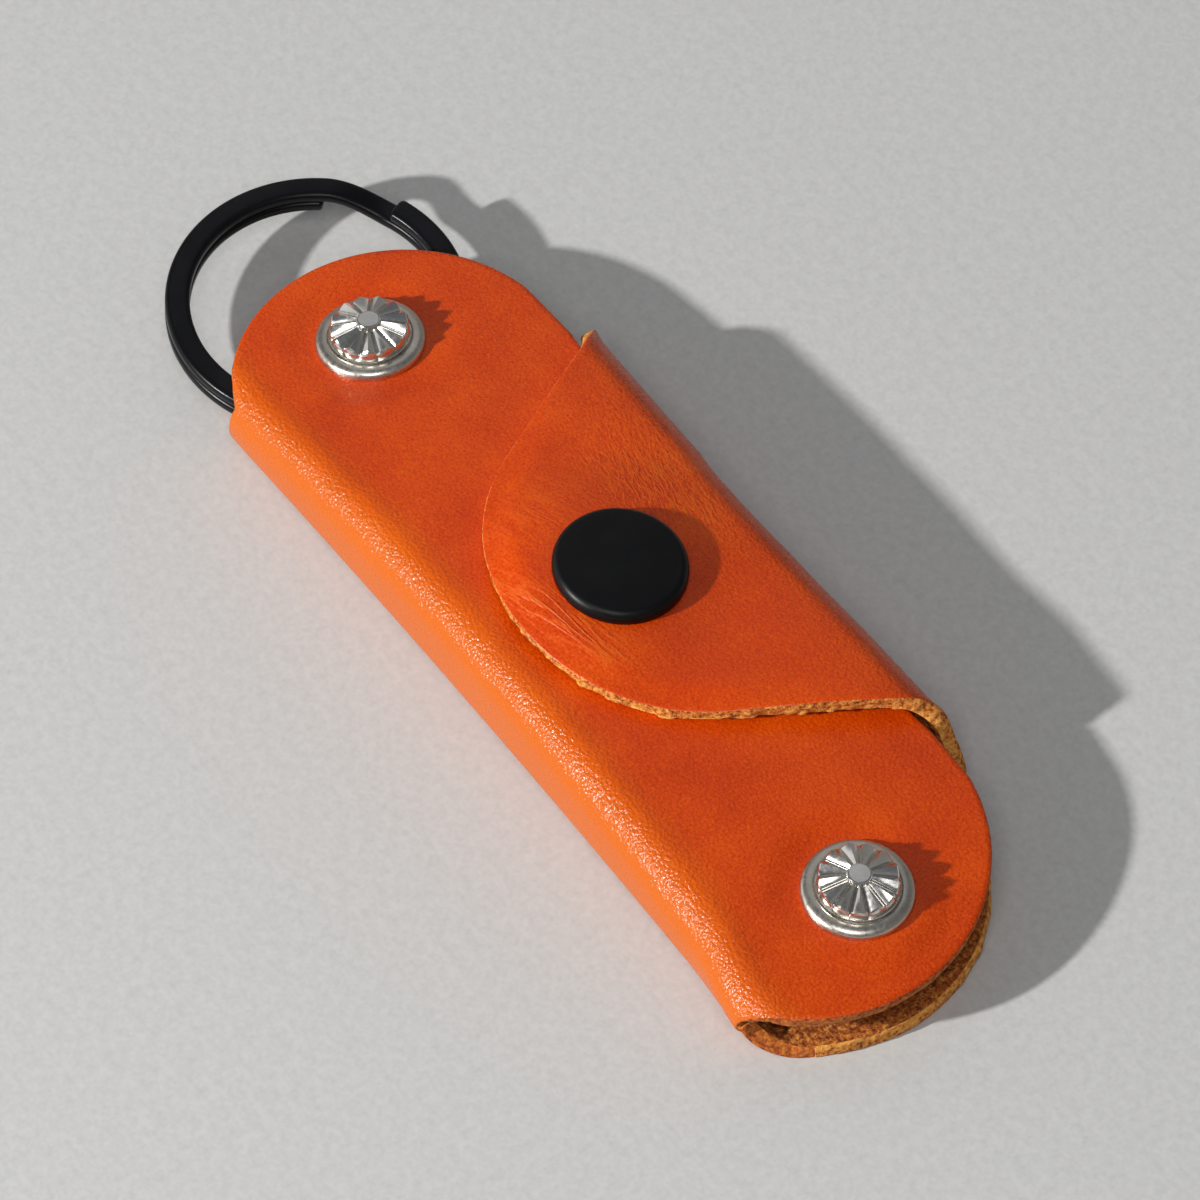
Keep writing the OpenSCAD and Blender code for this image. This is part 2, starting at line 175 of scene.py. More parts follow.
# shader nodes: most of these give back the node's output
def addNode(tree, kind, links=(), **settings):
    # adds a node; links feed its inputs from other nodes' sockets, settings fill inputs or fields
    node = tree.nodes.new("ShaderNode" + kind)
    for key, value in settings.items():
        if key.startswith("in_"):
            name = key[3:].replace("_", " ")
            socket = node.inputs[int(name)] if name.isdigit() else node.inputs[name]
            socket.default_value = value
        else:
            setattr(node, key, value)
    for target, source in links:
        tree.links.new(source, node.inputs[target])
    return node


def feed(tree, socket, value):
    # gives a socket another node's output or a plain number
    if isinstance(value, float):
        socket.default_value = value
    else:
        tree.links.new(value, socket)


def mathNode(tree, operation, *values):
    node = addNode(tree, "Math", operation=operation)
    for socket, value in zip(node.inputs, values):
        feed(tree, socket, value)
    return node.outputs[0]


def noiseNode(tree, place, scale, detail, roughness=0.5):
    return addNode(tree, "TexNoise", [("Vector", place)], in_Scale=scale, in_Detail=detail,
                   in_Roughness=roughness).outputs["Fac"]


def cellNode(tree, place, scale):
    # irregular cells: the distance from the middle of each
    return addNode(tree, "TexVoronoi", [("Vector", place)], in_Scale=scale).outputs["Distance"]


def rangeNode(tree, source, low, high, toLow, toHigh, kind="LINEAR"):
    # low to high becomes toLow to toHigh, and what lies beyond stays at its end
    return addNode(tree, "MapRange", [("Value", source)], interpolation_type=kind,
                   in_1=low, in_2=high, in_3=toLow, in_4=toHigh).outputs[0]


def pointValue(tree, name):
    # a number that addFloat gave to each point
    return addNode(tree, "Attribute", attribute_name=name).outputs["Fac"]


def bumpNode(tree, height, strength, distance, *under):
    links = [("Height", height)] + [("Normal", normal) for normal in under]
    return addNode(tree, "Bump", links, in_Strength=strength, in_Distance=distance).outputs[0]


def ramp(tree, source, stops):
    # colours along a value: (place, hex colour) pairs
    node = addNode(tree, "ValToRGB", [("Fac", source)])
    bar = node.color_ramp.elements
    while len(bar) < len(stops):
        bar.new(0.5)
    for element, (at, colour) in zip(bar, stops):
        element.position = at
        element.color = srgb(colour)
    return node.outputs["Color"]


def newMaterial(name):
    material = bpy.data.materials.new(name)
    material.use_nodes = True
    tree = material.node_tree
    shader = tree.nodes["Principled BSDF"]
    place = addNode(tree, "TexCoord")
    return material, tree, shader, place.outputs["Object"]


def setLook(tree, shader, colour, roughness, normal):
    feed(tree, shader.inputs["Base Color"], colour)
    feed(tree, shader.inputs["Roughness"], roughness)
    feed(tree, shader.inputs["Normal"], normal)


# camera, floor and light, in metres
camera = {"azimuth": 55.1, "elevation": 52.0, "distance": 0.8005, "lens": 264.8, "sensor": 36,
          "near": 0.01, "target": (0.00502, -0.00148, 0.0077)}


def lookFrom(name, data, towards, away):
    # a camera or lamp that looks at the target from its direction
    thing = bpy.data.objects.new(name, data)
    thing.location = Vector(camera["target"]) + towards * away
    thing.rotation_euler = (-towards).to_track_quat("-Z", "Y").to_euler()
    bpy.context.scene.collection.objects.link(thing)
    return thing


def makeCamera():
    a, e = math.radians(camera["azimuth"]), math.radians(camera["elevation"])
    back = Vector((math.sin(a) * math.cos(e), -math.cos(a) * math.cos(e), math.sin(e)))
    data = bpy.data.cameras.new("camera")
    data.lens = camera["lens"]
    data.sensor_width = camera["sensor"]
    data.clip_start = camera["near"]
    bpy.context.scene.camera = lookFrom("camera", data, back, camera["distance"])


floor = {"middle": 0.2, "flat": 1.5, "sweep": 0.5, "wall": 1.4, "card": "#C8C7C4", "fibre": "#BBBAB7"}


def makeFloor():
    # a round sweep of pale card: a disc that curves up into a wall
    material, tree, shader, place = newMaterial("paleCard")
    fibres = noiseNode(tree, place, 1900.0, 4.0)
    cloud = noiseNode(tree, place, 900.0, 3.0)
    mean = mathNode(tree, "MULTIPLY", mathNode(tree, "ADD", fibres, cloud), 0.5)
    feed(tree, shader.inputs["Base Color"], ramp(tree, mean, [(0.3, floor["fibre"]), (0.62, floor["card"])]))
    feed(tree, shader.inputs["Roughness"], 0.9)
    arc = np.linspace(0, math.pi / 2, 13)
    profile = [(0, 0), (floor["middle"], 0), (floor["flat"], 0)]
    profile += [(floor["flat"] + floor["sweep"] * math.sin(a), floor["sweep"] * (1 - math.cos(a)))
                for a in arc[1:]]
    profile += [(floor["flat"] + floor["sweep"], floor["wall"])]
    card = revolve("floor", profile[::-1], lambda p: p, [material], sharp=None)


lamps = {
    "key": {"towards": (-0.16, -0.88, 0.45), "away": 1.3, "size": 0.055, "power": 21.5},
    "fill": {"towards": (0.42, -0.34, 0.84), "away": 1.2, "size": 0.62, "power": 4.0},
    "back": {"towards": (-0.52, 0.36, 0.77), "away": 1.3, "size": 1.0, "power": 0.72},
    "side": {"towards": (-0.80, -0.50, 0.29), "away": 1.2, "size": 0.7, "power": 0.8},
}
studio = {"colour": "#7C8088", "strength": 0.62}


def makeLight():
    for name, lamp in lamps.items():
        data = bpy.data.lights.new(name, "AREA")
        data.shape = "DISK"
        data.size = lamp["size"]
        data.energy = lamp["power"]
        light = lookFrom(name, data, Vector(lamp["towards"]).normalized(), lamp["away"])
        light.visible_camera = False
    world = bpy.data.worlds.new("studio")
    world.use_nodes = True
    back = world.node_tree.nodes["Background"]
    back.inputs["Color"].default_value = srgb(studio["colour"])
    back.inputs["Strength"].default_value = studio["strength"]
    bpy.context.scene.world = world
    bpy.context.scene.view_settings.view_transform = "Standard"


makeCamera()
makeFloor()
makeLight()
print("stage made")

# materials: colours of the hide, its roughness, and depths of relief in metres
leatherLook = {"deep": "#B53300", "mid": "#C73F00", "light": "#D54F02", "stretchedAndLit": "#C26010",
               "edgeDark": "#702C06", "edge": "#C66E1C", "edgeLight": "#EFAC50",
               "fleshDark": "#662806", "flesh": "#C46416", "fleshLight": "#F2AE50",
               "waxed": 0.24, "worn": 0.40, "rubbed": 0.5, "specular": 0.32,
               "flatGrain": 0.34, "raisedGrain": 0.95, "grainDeep": 0.00007,
               "foldWide": 0.10, "foldPaintedHighlight": 0.28, "foldDull": 0.3, "foldDeep": 0.00007,
               "edgeDeep": 0.0002, "fleshDeep": 0.0004}
# thin folds in the grain: spacing and length in mm, turn in degrees, and the mask for their place
grainFolds = [(0.85, 6.5, -13.0, "tipFolds"), (0.5, 2.2, 13.0, "bendFolds")]


def makeGrainLeather():
    # vegetable-tanned cowhide, dyed orange and waxed: fine pebbled grain that sparkles in the
    # light, cloudy colour, a pale spine side that is painted light as well as stretch, and thin raised folds
    # by the snap
    material, tree, shader, place = newMaterial("orangeVegTanLeather")
    look = leatherLook
    pebbles = cellNode(tree, place, 2800.0)  # 0.36 mm apart
    fine = noiseNode(tree, place, 3900.0, 2.0)
    pores = noiseNode(tree, place, 4200.0, 3.0, 0.65)
    cloud = noiseNode(tree, place, 130.0, 5.0)
    flat = addNode(tree, "UVMap", uv_map="flatSheet")
    lines = None
    for across, along, turn, mask in grainFolds:
        # a line runs where stretched noise crosses its middle value
        scaled = addNode(tree, "Mapping", [("Vector", flat.outputs["UV"])],
                         vector_type="TEXTURE", in_Rotation=(0, 0, math.radians(turn)),
                         in_Scale=(along / flatUnit, across / flatUnit, 1.0))
        streaks = addNode(tree, "TexNoise", [("Vector", scaled.outputs["Vector"])],
                          in_Scale=1.0, in_Detail=2.0, in_Distortion=0.3)
        near = mathNode(tree, "ABSOLUTE", mathNode(tree, "SUBTRACT", streaks.outputs["Fac"], 0.5))
        ridge = rangeNode(tree, near, 0.0, look["foldWide"], 1.0, 0.0, "SMOOTHSTEP")
        part = mathNode(tree, "MULTIPLY", ridge, pointValue(tree, mask))
        lines = part if lines is None else mathNode(tree, "MAXIMUM", lines, part)
    tone = addNode(tree, "Mix", [(2, cloud), (3, pores)], in_0=0.6).outputs[0]
    tone = mathNode(tree, "MULTIPLY_ADD", pebbles, -0.06, tone)
    # painted highlight: the fold lines are made paler, for the light their ridges catch
    tone = mathNode(tree, "MULTIPLY_ADD", lines, look["foldPaintedHighlight"], tone)
    grainColour = ramp(tree, tone, [(0.34, look["deep"]), (0.47, look["mid"]), (0.60, look["light"]),
                                    (0.80, look["stretchedAndLit"])])
    # painted light: the pale colour covers the spine's side that faces the key light, along with the stretch
    # of the fold; on the flap's arc it is stretch alone
    colour = addNode(tree, "Mix", [("Factor", pointValue(tree, "bend")), (6, grainColour)],
                     data_type="RGBA", in_7=srgb(look["stretchedAndLit"]))
    # the grain stands up on the folded shoulder, where it is also waxed and rubbed the most
    openGrain = pointValue(tree, "openGrain")
    rub = rangeNode(tree, openGrain, 0.0, 1.0, 1.0, look["rubbed"])
    rough = mathNode(tree, "MULTIPLY", rangeNode(tree, pores, 0.35, 0.65, look["waxed"], look["worn"]), rub)
    # the folds are rubbed dull; the paler colour they get above is a painted highlight
    rough = mathNode(tree, "MULTIPLY_ADD", lines, look["foldDull"], rough)
    height = mathNode(tree, "MULTIPLY_ADD", pebbles, -1.3, fine)
    height = mathNode(tree, "MULTIPLY_ADD", pores, 0.6, height)
    rise = rangeNode(tree, openGrain, 0.0, 1.0, look["flatGrain"], look["raisedGrain"])
    grain = bumpNode(tree, mathNode(tree, "MULTIPLY", height, rise), 1.0, look["grainDeep"])
    folds = bumpNode(tree, lines, 0.8, look["foldDeep"], grain)
    setLook(tree, shader, colour.outputs[2], rough, folds)
    shader.inputs["Specular IOR Level"].default_value = look["specular"]
    return material


def makeCutEdge(name, dark, middle, light):
    # cut edge of the hide: loose fibres, quite matte; raw it is paler than the grain. The case's edge gets
    # darker colours, which are painted shade
    material, tree, shader, place = newMaterial(name)
    fibres = noiseNode(tree, place, 2300.0, 5.0, 0.7)
    tone = mathNode(tree, "MULTIPLY_ADD", pointValue(tree, "depth"), 0.10, fibres)
    colour = ramp(tree, tone, [(0.40, dark), (0.50, middle), (0.66, light)])
    setLook(tree, shader, colour, 0.85, bumpNode(tree, fibres, 1.0, leatherLook["edgeDeep"]))
    return material


def makeFlesh():
    # flesh side: a nap of short fibres that looks velvety and mottled
    material, tree, shader, place = newMaterial("suedeFleshSide")
    nap = noiseNode(tree, place, 1900.0, 6.0, 0.75)
    tone = mathNode(tree, "MULTIPLY_ADD", cellNode(tree, place, 1500.0), -0.12, nap)
    colour = ramp(tree, tone, [(0.33, leatherLook["fleshDark"]), (0.46, leatherLook["flesh"]),
                               (0.60, leatherLook["fleshLight"])])
    setLook(tree, shader, colour, 0.95, bumpNode(tree, tone, 1.0, leatherLook["fleshDeep"]))
    return material


def makeMetal(name, dark, light, rough, scratchScale, scratchDeep):
    # plated metal: colour from dark to light in faint clouds, fine scratches in the roughness
    material, tree, shader, place = newMaterial(name)
    wear = noiseNode(tree, place, 420.0, 4.0)
    scratch = noiseNode(tree, place, scratchScale, 3.0)
    colour = ramp(tree, wear, [(0.35, dark), (0.65, light)])
    span = rangeNode(tree, scratch, 0.3, 0.7, rough * 0.8, rough * 1.3)
    setLook(tree, shader, colour, span, bumpNode(tree, scratch, 0.4, scratchDeep))
    shader.inputs["Metallic"].default_value = 1.0
    return material


def makeBlack(name, dark, light, rough, peelScale, peelDeep):
    # black coat on metal: matte, with a very fine orange-peel and paler rubbed patches
    material, tree, shader, place = newMaterial(name)
    peel = noiseNode(tree, place, peelScale, 3.0)
    rub = noiseNode(tree, place, 300.0, 3.0)
    colour = ramp(tree, rub, [(0.35, dark), (0.7, light)])
    span = rangeNode(tree, rub, 0.3, 0.7, rough * 1.15, rough * 0.85)
    setLook(tree, shader, colour, span, bumpNode(tree, peel, 0.5, peelDeep))
    shader.inputs["Specular IOR Level"].default_value = 0.22
    return material


grainLeather = makeGrainLeather()
rawEdge = makeCutEdge("rawLeatherEdge", leatherLook["edgeDark"], leatherLook["edge"],
                      leatherLook["edgeLight"])
# painted shade: the case's cut edge is given darker colours, for the shade it lies in
shadedCaseEdge = makeCutEdge("caseEdgePaintedShade", "#6A2805", "#A84C0C", "#D07A22")
fleshSide = makeFlesh()
satinNickel = makeMetal("satinNickelPlate", "#C4BCAE", "#D8D1C4", 0.30, 2600.0, 0.000006)
polishedNickel = makeMetal("polishedNickelPlate", "#D6D2CA", "#EAE7E1", 0.18, 2600.0, 0.000003)
springSteel = makeMetal("springSteelWire", "#8E8C88", "#A8A6A2", 0.35, 3000.0, 0.000006)
capLacquer = makeBlack("matteBlackLacquer", "#050506", "#0A0A0B", 0.38, 5200.0, 0.000012)
ringCoat = makeBlack("satinBlackOxide", "#060608", "#0D0D11", 0.30, 3600.0, 0.00002)
print("materials made")

# leather sheet: heights and sections, all in mm from the case's middle; x runs along the case,
# y across it and s along its section. A pair is where a smooth step begins and how long it is
sheet = {"thick": 1.6, "bow": 286.35, "top": 10.3, "endSlope": 2.0, "endLevel": (35.0, 7.0),
         "screwX": 38.5, "screwTop": 7.7, "lean": 5.0, "seat": (5.5, 3.2), "seatDeep": 0.06,
         "spineY": -14.6, "spinePinch": 0.5, "pinchHalf": 38, "shoulder": 3.3, "wallBulge": 0.25,
         "edgeY": 15.5, "edgePull": 0.8, "pullHalf": 28, "edgeDrop": 0.3, "edgeDropMiddle": 0.8,
         "dropHalf": 40, "dropFrom": -3, "dropOver": 18.5, "seamY": -10.3,
         "flareOut": 1.2, "flareOver": (33, 10)}
heightX = np.linspace(-60, 60, 2401)
bowSlope = -heightX / np.sqrt(sheet["bow"] ** 2 - heightX ** 2)
towardsRing = ease(-heightX, *sheet["endLevel"])
slopeX = bowSlope * (1 - towardsRing) + math.tan(math.radians(sheet["endSlope"])) * towardsRing
heightTable = np.r_[0, np.cumsum((slopeX[1:] + slopeX[:-1]) / 2 * np.diff(heightX))]
heightTable += sheet["top"] - np.interp(0, heightX, heightTable)


def topHeight(x):
    # height of the front panel's skin along its spine side
    return np.interp(x, heightX, heightTable)


def middleOf(x, half):
    # 1 in the middle of the case, falling to 0 at half along a parabola
    return np.clip(1 - (x / half) ** 2, 0, 1)


def panelHeight(x, y):
    # the front panel falls a little towards its free edge, most in the middle
    drop = sheet["edgeDrop"] + sheet["edgeDropMiddle"] * middleOf(x, sheet["dropHalf"])
    return topHeight(x) - drop * np.clip((y - sheet["dropFrom"]) / sheet["dropOver"], 0, 1.2) ** 2


def seatedHeight(x, y):
    # the same, pressed flat under the two washers
    z = panelHeight(x, y)
    for side in (-1, 1):
        away = np.hypot(x - side * sheet["screwX"], y)
        flat = sheet["screwTop"] - (side * x - sheet["screwX"]) * math.tan(math.radians(sheet["lean"]))
        hold = 1 - ease(away, *sheet["seat"])
        z = z + (flat - sheet["seatDeep"] - z) * hold
    return z


# s where each stretch of the case's skin ends: strip of back panel, shoulder, wall, shoulder, front
caseMarks = np.cumsum([0, 1.0, 5.18, 3.7, 5.18, 26.8])


def shares(s, marks):
    # how far each stretch between two marks has been passed, from 0 to 1
    return [np.clip((s - low) / (high - low), 0, 1) for low, high in zip(marks, marks[1:])]


def caseLine(x):
    # the shoulders' radius, and how far out the spine and the front panel's free edge lie
    radius = np.minimum(sheet["shoulder"], topHeight(x) / 2)
    outer = sheet["spineY"] + sheet["spinePinch"] * middleOf(x, sheet["pinchHalf"])
    edge = sheet["edgeY"] - sheet["edgePull"] * np.sqrt(middleOf(x, sheet["pullHalf"]))
    return radius, outer, edge


def flareOut(x):
    # towards the far end the fold opens: its upper shoulder stands out over the lower one
    return sheet["flareOut"] * ease(x, *sheet["flareOver"])


def caseSurface(x, s):
    # a quarter circle, an upright wall, a quarter circle and the bowed panel, joined along s
    radius, outer, edge = caseLine(x)
    part = shares(s, caseMarks)
    low, up = part[1] * np.pi / 2, part[3] * np.pi / 2
    beyond = np.maximum((s - caseMarks[4]) / (caseMarks[5] - caseMarks[4]), 0)
    y = sheet["seamY"] + part[0] * (outer + radius - sheet["seamY"]) - np.minimum(s, 0)
    y = y - radius * np.sin(low) + radius * (1 - np.cos(up)) + beyond * (edge - outer - radius)
    around = np.clip((s - caseMarks[1]) / (caseMarks[4] - caseMarks[1]), 0, 1)
    y = y - sheet["wallBulge"] * np.sin(np.pi * around) ** 2
    y = y - flareOut(x) * ease(around * 1.3) * np.clip(1 - beyond, 0, 1)
    z = radius * (1 - np.cos(low)) + part[2] * (topHeight(x) - 2 * radius) + radius * np.sin(up)
    z = z + (seatedHeight(x, y) - topHeight(x)) * (beyond > 0)
    return np.stack([x, y, z], -1)


# the flap: its round tip and straight sides, its rest on the panel, its bend, its root, its leg
flap = {"tipY": -9.45, "tipR": 20.5, "side": 28.0, "sideX": 24.5, "shift": 0.3,
        "rest": 0.08, "snapY": 1.2, "lift": 1.08, "fall": (5.4, 10.0), "leanX": 4.5, "leanY": 3.0,
        "bendGap": 0.3, "bendRise": (3, 10), "farGap": 0.55, "farRise": (7, 11), "farAcross": (-5, 9),
        "lowR": 3.0, "topR": 3.9, "topY": 13.5, "pinch": 0.6, "pinchHalf": 25,
        "flare": 1.1, "flareOver": (25, 6), "rootR": 1.6, "rootSpread": (0.44, 0.68),
        "rootReach": 5.7, "rootGap": 0.3, "knee": 0.55, "edgeIn": 0.35, "legStep": 2.4, "legOver": (4.6, 3.2),
        "pressed": 0.42, "pressWide": 3.0, "pressAcross": (0.5, 8), "pressFar": 0.45,
        "pressAlong": (2, 10)}


def pressedEdge(x, y):
    # the round tip is pressed thin along its edge, less so on the far side
    middle = flap["tipY"] + flap["tipR"]
    inwards = flap["tipR"] - np.hypot(x - flap["shift"], y - middle)
    tip = (1 - ease(inwards / flap["pressWide"])) * (1 - ease(y, *flap["pressAcross"]))
    return flap["pressed"] * tip * (1 - flap["pressFar"] * ease(x, *flap["pressAlong"]))


def flapHeight(x, y):
    # skin of the flap: it rests on the front panel, rises to the snap, which leans a little, and
    # lifts off the panel beside the bend and along its far side
    away = np.hypot(x, y - flap["snapY"])
    lean = -x * math.tan(math.radians(flap["leanX"]))
    lean = lean - (y - flap["snapY"]) * math.tan(math.radians(flap["leanY"]))
    gap = flap["rest"] + (flap["lift"] + lean) * (1 - ease(away, *flap["fall"]))
    gap = gap + flap["bendGap"] * ease(y, *flap["bendRise"])
    gap = gap + flap["farGap"] * ease(x, *flap["farRise"]) * ease(y, *flap["farAcross"])
    return panelHeight(x, y) + gap + sheet["thick"] - pressedEdge(x, y)


# s where each stretch of the flap's skin ends: back panel, quarter circle, upright leg, arc, flap
flapMarks = np.cumsum([0, 24.6, 4.71, 3.9, 5.7, 22.9])


def flapLine(x):
    # where the flap goes over into its bend, the slope there, and the middle of the upper arc
    top = flap["topY"] + flap["pinch"] * (1 - middleOf(x, flap["pinchHalf"]))
    top = top + flap["flare"] * ease(np.abs(x), *flap["flareOver"])
    step = 0.01
    slope = (flapHeight(x, top - step) - flapHeight(x, top + step)) / (2 * step)
    tilt = np.arctan(slope)
    middleY = top - flap["topR"] * np.sin(tilt)
    middleZ = flapHeight(x, top) - flap["topR"] * np.cos(tilt)
    return top, tilt, middleY, middleZ


def flapSurface(x, s):
    # back panel, quarter circle, upright leg, arc, and the flap, joined along s
    top, tilt, middleY, middleZ = flapLine(x)
    part = shares(s, flapMarks)
    turnY = middleY + flap["topR"] - flap["lowR"]
    low = part[1] * np.pi / 2
    y = sheet["seamY"] + np.minimum(s / flapMarks[1], 1) * (turnY - sheet["seamY"])
    y = y + flap["lowR"] * np.sin(low)
    z = flap["lowR"] * (1 - np.cos(low)) + part[2] * (middleZ - flap["lowR"])
    arc = np.pi / 2 - part[3] * (np.pi / 2 - tilt)
    on = s > flapMarks[3]
    y = np.where(on, middleY + flap["topR"] * np.sin(arc), y)
    z = np.where(on, middleZ + flap["topR"] * np.cos(arc), z)
    onFlap = s > flapMarks[4]
    y = np.where(onFlap, top - (s - flapMarks[4]), y)
    z = np.where(onFlap, flapHeight(x, y), z)
    return np.stack([x, y, z], -1)


# outlines of the two parts of the sheet, in x and s
ends = {"farX": 31.2, "farR": 17.75, "farY": -2.05, "ringX": -33.3, "ringR": 15.65, "ringY": 0.05,
        "wallX": -39.9, "arcFrom": -11.0, "corner": 0.6, "backFar": -0.4, "backRing": 0.3,
        "backOver": 10, "backY": 15.5, "backStraight": 10}


def farEnd(y):
    return ends["farX"] + np.sqrt(np.maximum(ends["farR"] ** 2 - (y - ends["farY"]) ** 2, 1e-6))


def ringEnd(y):
    return ends["ringX"] - np.sqrt(np.maximum(ends["ringR"] ** 2 - (y - ends["ringY"]) ** 2, 1e-6))


def caseOutline():
    # round the spine the ends are found from y at each s, in a few rounds that settle; on the
    # front panel they are arcs
    marks = caseMarks
    s = np.linspace(0, marks[4], 120)
    back = 1 - ease(s, marks[1], marks[4] - marks[1])
    right, left = np.full(len(s), 44.0), np.full(len(s), -40.0)
    for _ in range(6):
        right = farEnd(caseSurface(right, s)[:, 1]) + ends["backFar"] * back
        left = np.minimum(ringEnd(caseSurface(left, s)[:, 1]), ends["wallX"]) - ends["backRing"] * back

    def onFront(x, y):
        radius, outer, edge = caseLine(x)
        start = outer + radius - flareOut(x)
        return marks[4] + (marks[5] - marks[4]) * (y - start) / (edge - start)

    def arc(middleX, middleY, radius, sign, startX):
        begin = math.atan2(ends["arcFrom"], (startX - middleX) * sign)
        angle = np.linspace(begin, math.pi / 2, 240)
        x = middleX + sign * radius * np.cos(angle)
        y = middleY + radius * np.sin(angle)
        at = onFront(x, y)
        ok = (at > marks[4] + 0.1) & (at < marks[5])
        return np.c_[x[ok], at[ok]]

    far = arc(ends["farX"], ends["farY"], ends["farR"], 1, right[-1])
    ring = arc(ends["ringX"], ends["ringY"], ends["ringR"], -1, left[-1])
    top = np.array([[far[-1, 0] - ends["corner"], marks[5]], [ring[-1, 0] + ends["corner"], marks[5]]])
    leftSide = np.c_[left, s]
    return np.vstack([leftSide[:1], np.c_[right, s], far, top, ring[::-1], leftSide[::-1][:-1]])


def flapOutline():
    # back panel to its free edge, a small fillet, the flap's straight sides and its round tip
    marks = flapMarks
    edgeS = marks[1] - flap["edgeIn"]
    middleY, sideAngle = flap["tipY"] + flap["tipR"], math.radians(flap["side"])
    rootHigh, rootWide = flap["rootR"] * 1.2, flap["rootR"] * 1.1
    straight, backY = ends["backStraight"], ends["backY"]
    sides = []
    for sign in (1, -1):
        y = np.r_[np.linspace(sheet["seamY"], straight, 60),
                  backY - (backY - straight) * np.linspace(1, 0, 90)[1:] ** 2]
        if sign > 0:
            x = farEnd(y) + ends["backFar"] * ease(-y / ends["backOver"])
        else:
            x = ringEnd(y) - ends["backRing"]
        s = (y - sheet["seamY"]) / (backY - sheet["seamY"]) * edgeS
        # the flap's side: straight in the flat sheet from the tip's arc to the root
        tangentX = flap["tipR"] * math.cos(sideAngle)
        tangentY = middleY - flap["tipR"] * math.sin(sideAngle)
        top = flapLine(np.array([flap["sideX"] * sign]))[0][0]
        topX = tangentX + (top - tangentY) * math.tan(sideAngle)
        run = np.linspace(0, 1, 60)
        lineS = edgeS + rootHigh + run * (marks[4] - edgeS - rootHigh)
        # it widens over the bend; on the ring's side the upright leg is narrower again
        reach = marks[4] - lineS
        lineX = topX + reach * flap["rootSpread"][0]
        if sign < 0:
            lineX = topX + np.minimum(reach, flap["rootReach"]) * flap["rootSpread"][1]
            lineX = lineX - flap["legStep"] * ease(reach, *flap["legOver"])
        turn = np.linspace(0, 1, 24)[1:-1]
        start = np.array([lineX[0] + rootWide, edgeS])
        end, knee = np.array([lineX[0], lineS[0]]), np.array([lineX[0] + flap["knee"], edgeS])
        fillet = ((1 - turn) ** 2)[:, None] * start + (2 * turn * (1 - turn))[:, None] * knee \
            + (turn ** 2)[:, None] * end
        below = np.linspace(0, 1, 60)[1:]
        sideX = topX + (tangentX - topX) * below
        sideY = top + (tangentY - top) * below
        angle = np.linspace(-sideAngle, -math.pi / 2, 90)[1:]
        arcX, arcY = flap["tipR"] * np.cos(angle), middleY + flap["tipR"] * np.sin(angle)
        planX, planY = np.r_[sideX, arcX], np.r_[sideY, arcY]
        planTop = flapLine(sign * planX + flap["shift"])[0]
        planS = marks[4] + planTop - planY
        flapSide = np.c_[np.r_[lineX, planX] * sign + flap["shift"], np.r_[lineS, planS]]
        fillet[:, 0] = fillet[:, 0] * sign + flap["shift"]
        keep = x * sign > abs(start[0]) + flap["rootGap"]
        sides.append(np.vstack([np.c_[x, s][keep], fillet, flapSide]))
    return np.vstack([sides[0], sides[1][::-1]])


def evenSteps(points, step):
    # the same closed outline, walked at an even step
    loop = np.vstack([points, points[:1]])
    along = np.r_[0, np.cumsum(np.linalg.norm(np.diff(loop, axis=0), axis=1))]
    at = np.arange(int(along[-1] / step)) * step
    return np.c_[np.interp(at, along, loop[:, 0]), np.interp(at, along, loop[:, 1])]


def besideOutline(points, outline):
    # distance outwards from a closed outline, the outward direction there and the place along it;
    # every tenth point is tried first, in batches that fit the memory, and then those around it
    skip, batch = 10, 4000
    first = np.empty(len(points), int)
    coarse = outline[::skip]
    for start in range(0, len(points), batch):
        part = points[start:start + batch]
        first[start:start + batch] = ((part[:, None] - coarse) ** 2).sum(2).argmin(1) * skip
    around = (first[:, None] + np.arange(-skip - 1, skip + 2)) % len(outline)
    nearest = ((points[:, None] - outline[around]) ** 2).sum(2).argmin(1)
    nearest = np.take_along_axis(around, nearest[:, None], 1)[:, 0]
    tangent = np.roll(outline, -1, 0) - np.roll(outline, 1, 0)
    normal = unit(np.c_[tangent[:, 1], -tangent[:, 0]])
    out = ((points - outline[nearest]) * normal[nearest]).sum(1)
    return out, normal[nearest], nearest


# how the cut edge stands out through the thickness: depth share, bulge in mm, share of the fray
rim = np.array([[0.04, 0.10, 0.1], [0.12, 0.17, 0.3], [0.28, 0.20, 0.7], [0.46, 0.19, 1.0],
                [0.64, 0.17, 1.0], [0.82, 0.13, 1.2], [0.93, 0.08, 1.1]])
# the grid's cell, the share of a cell by which points outside are still kept, the outline's step,
# how near the seam counts as on it, outline steps for one step of the fray, and the fray's size
cut = {"cell": 0.36, "keep": 0.42, "outlineStep": 0.05, "onSeam": 0.06, "frayEvery": 4, "fray": 0.13}


def smoothNoise(count, step, seed):
    # random numbers round a loop, softened over a few steps
    values = np.random.default_rng(seed).normal(size=count)
    kernel = np.hanning(step * 2 + 3)
    values = np.real(np.fft.ifft(np.fft.fft(values) * np.fft.fft(kernel, count)))
    return (values - values.mean()) / values.std()


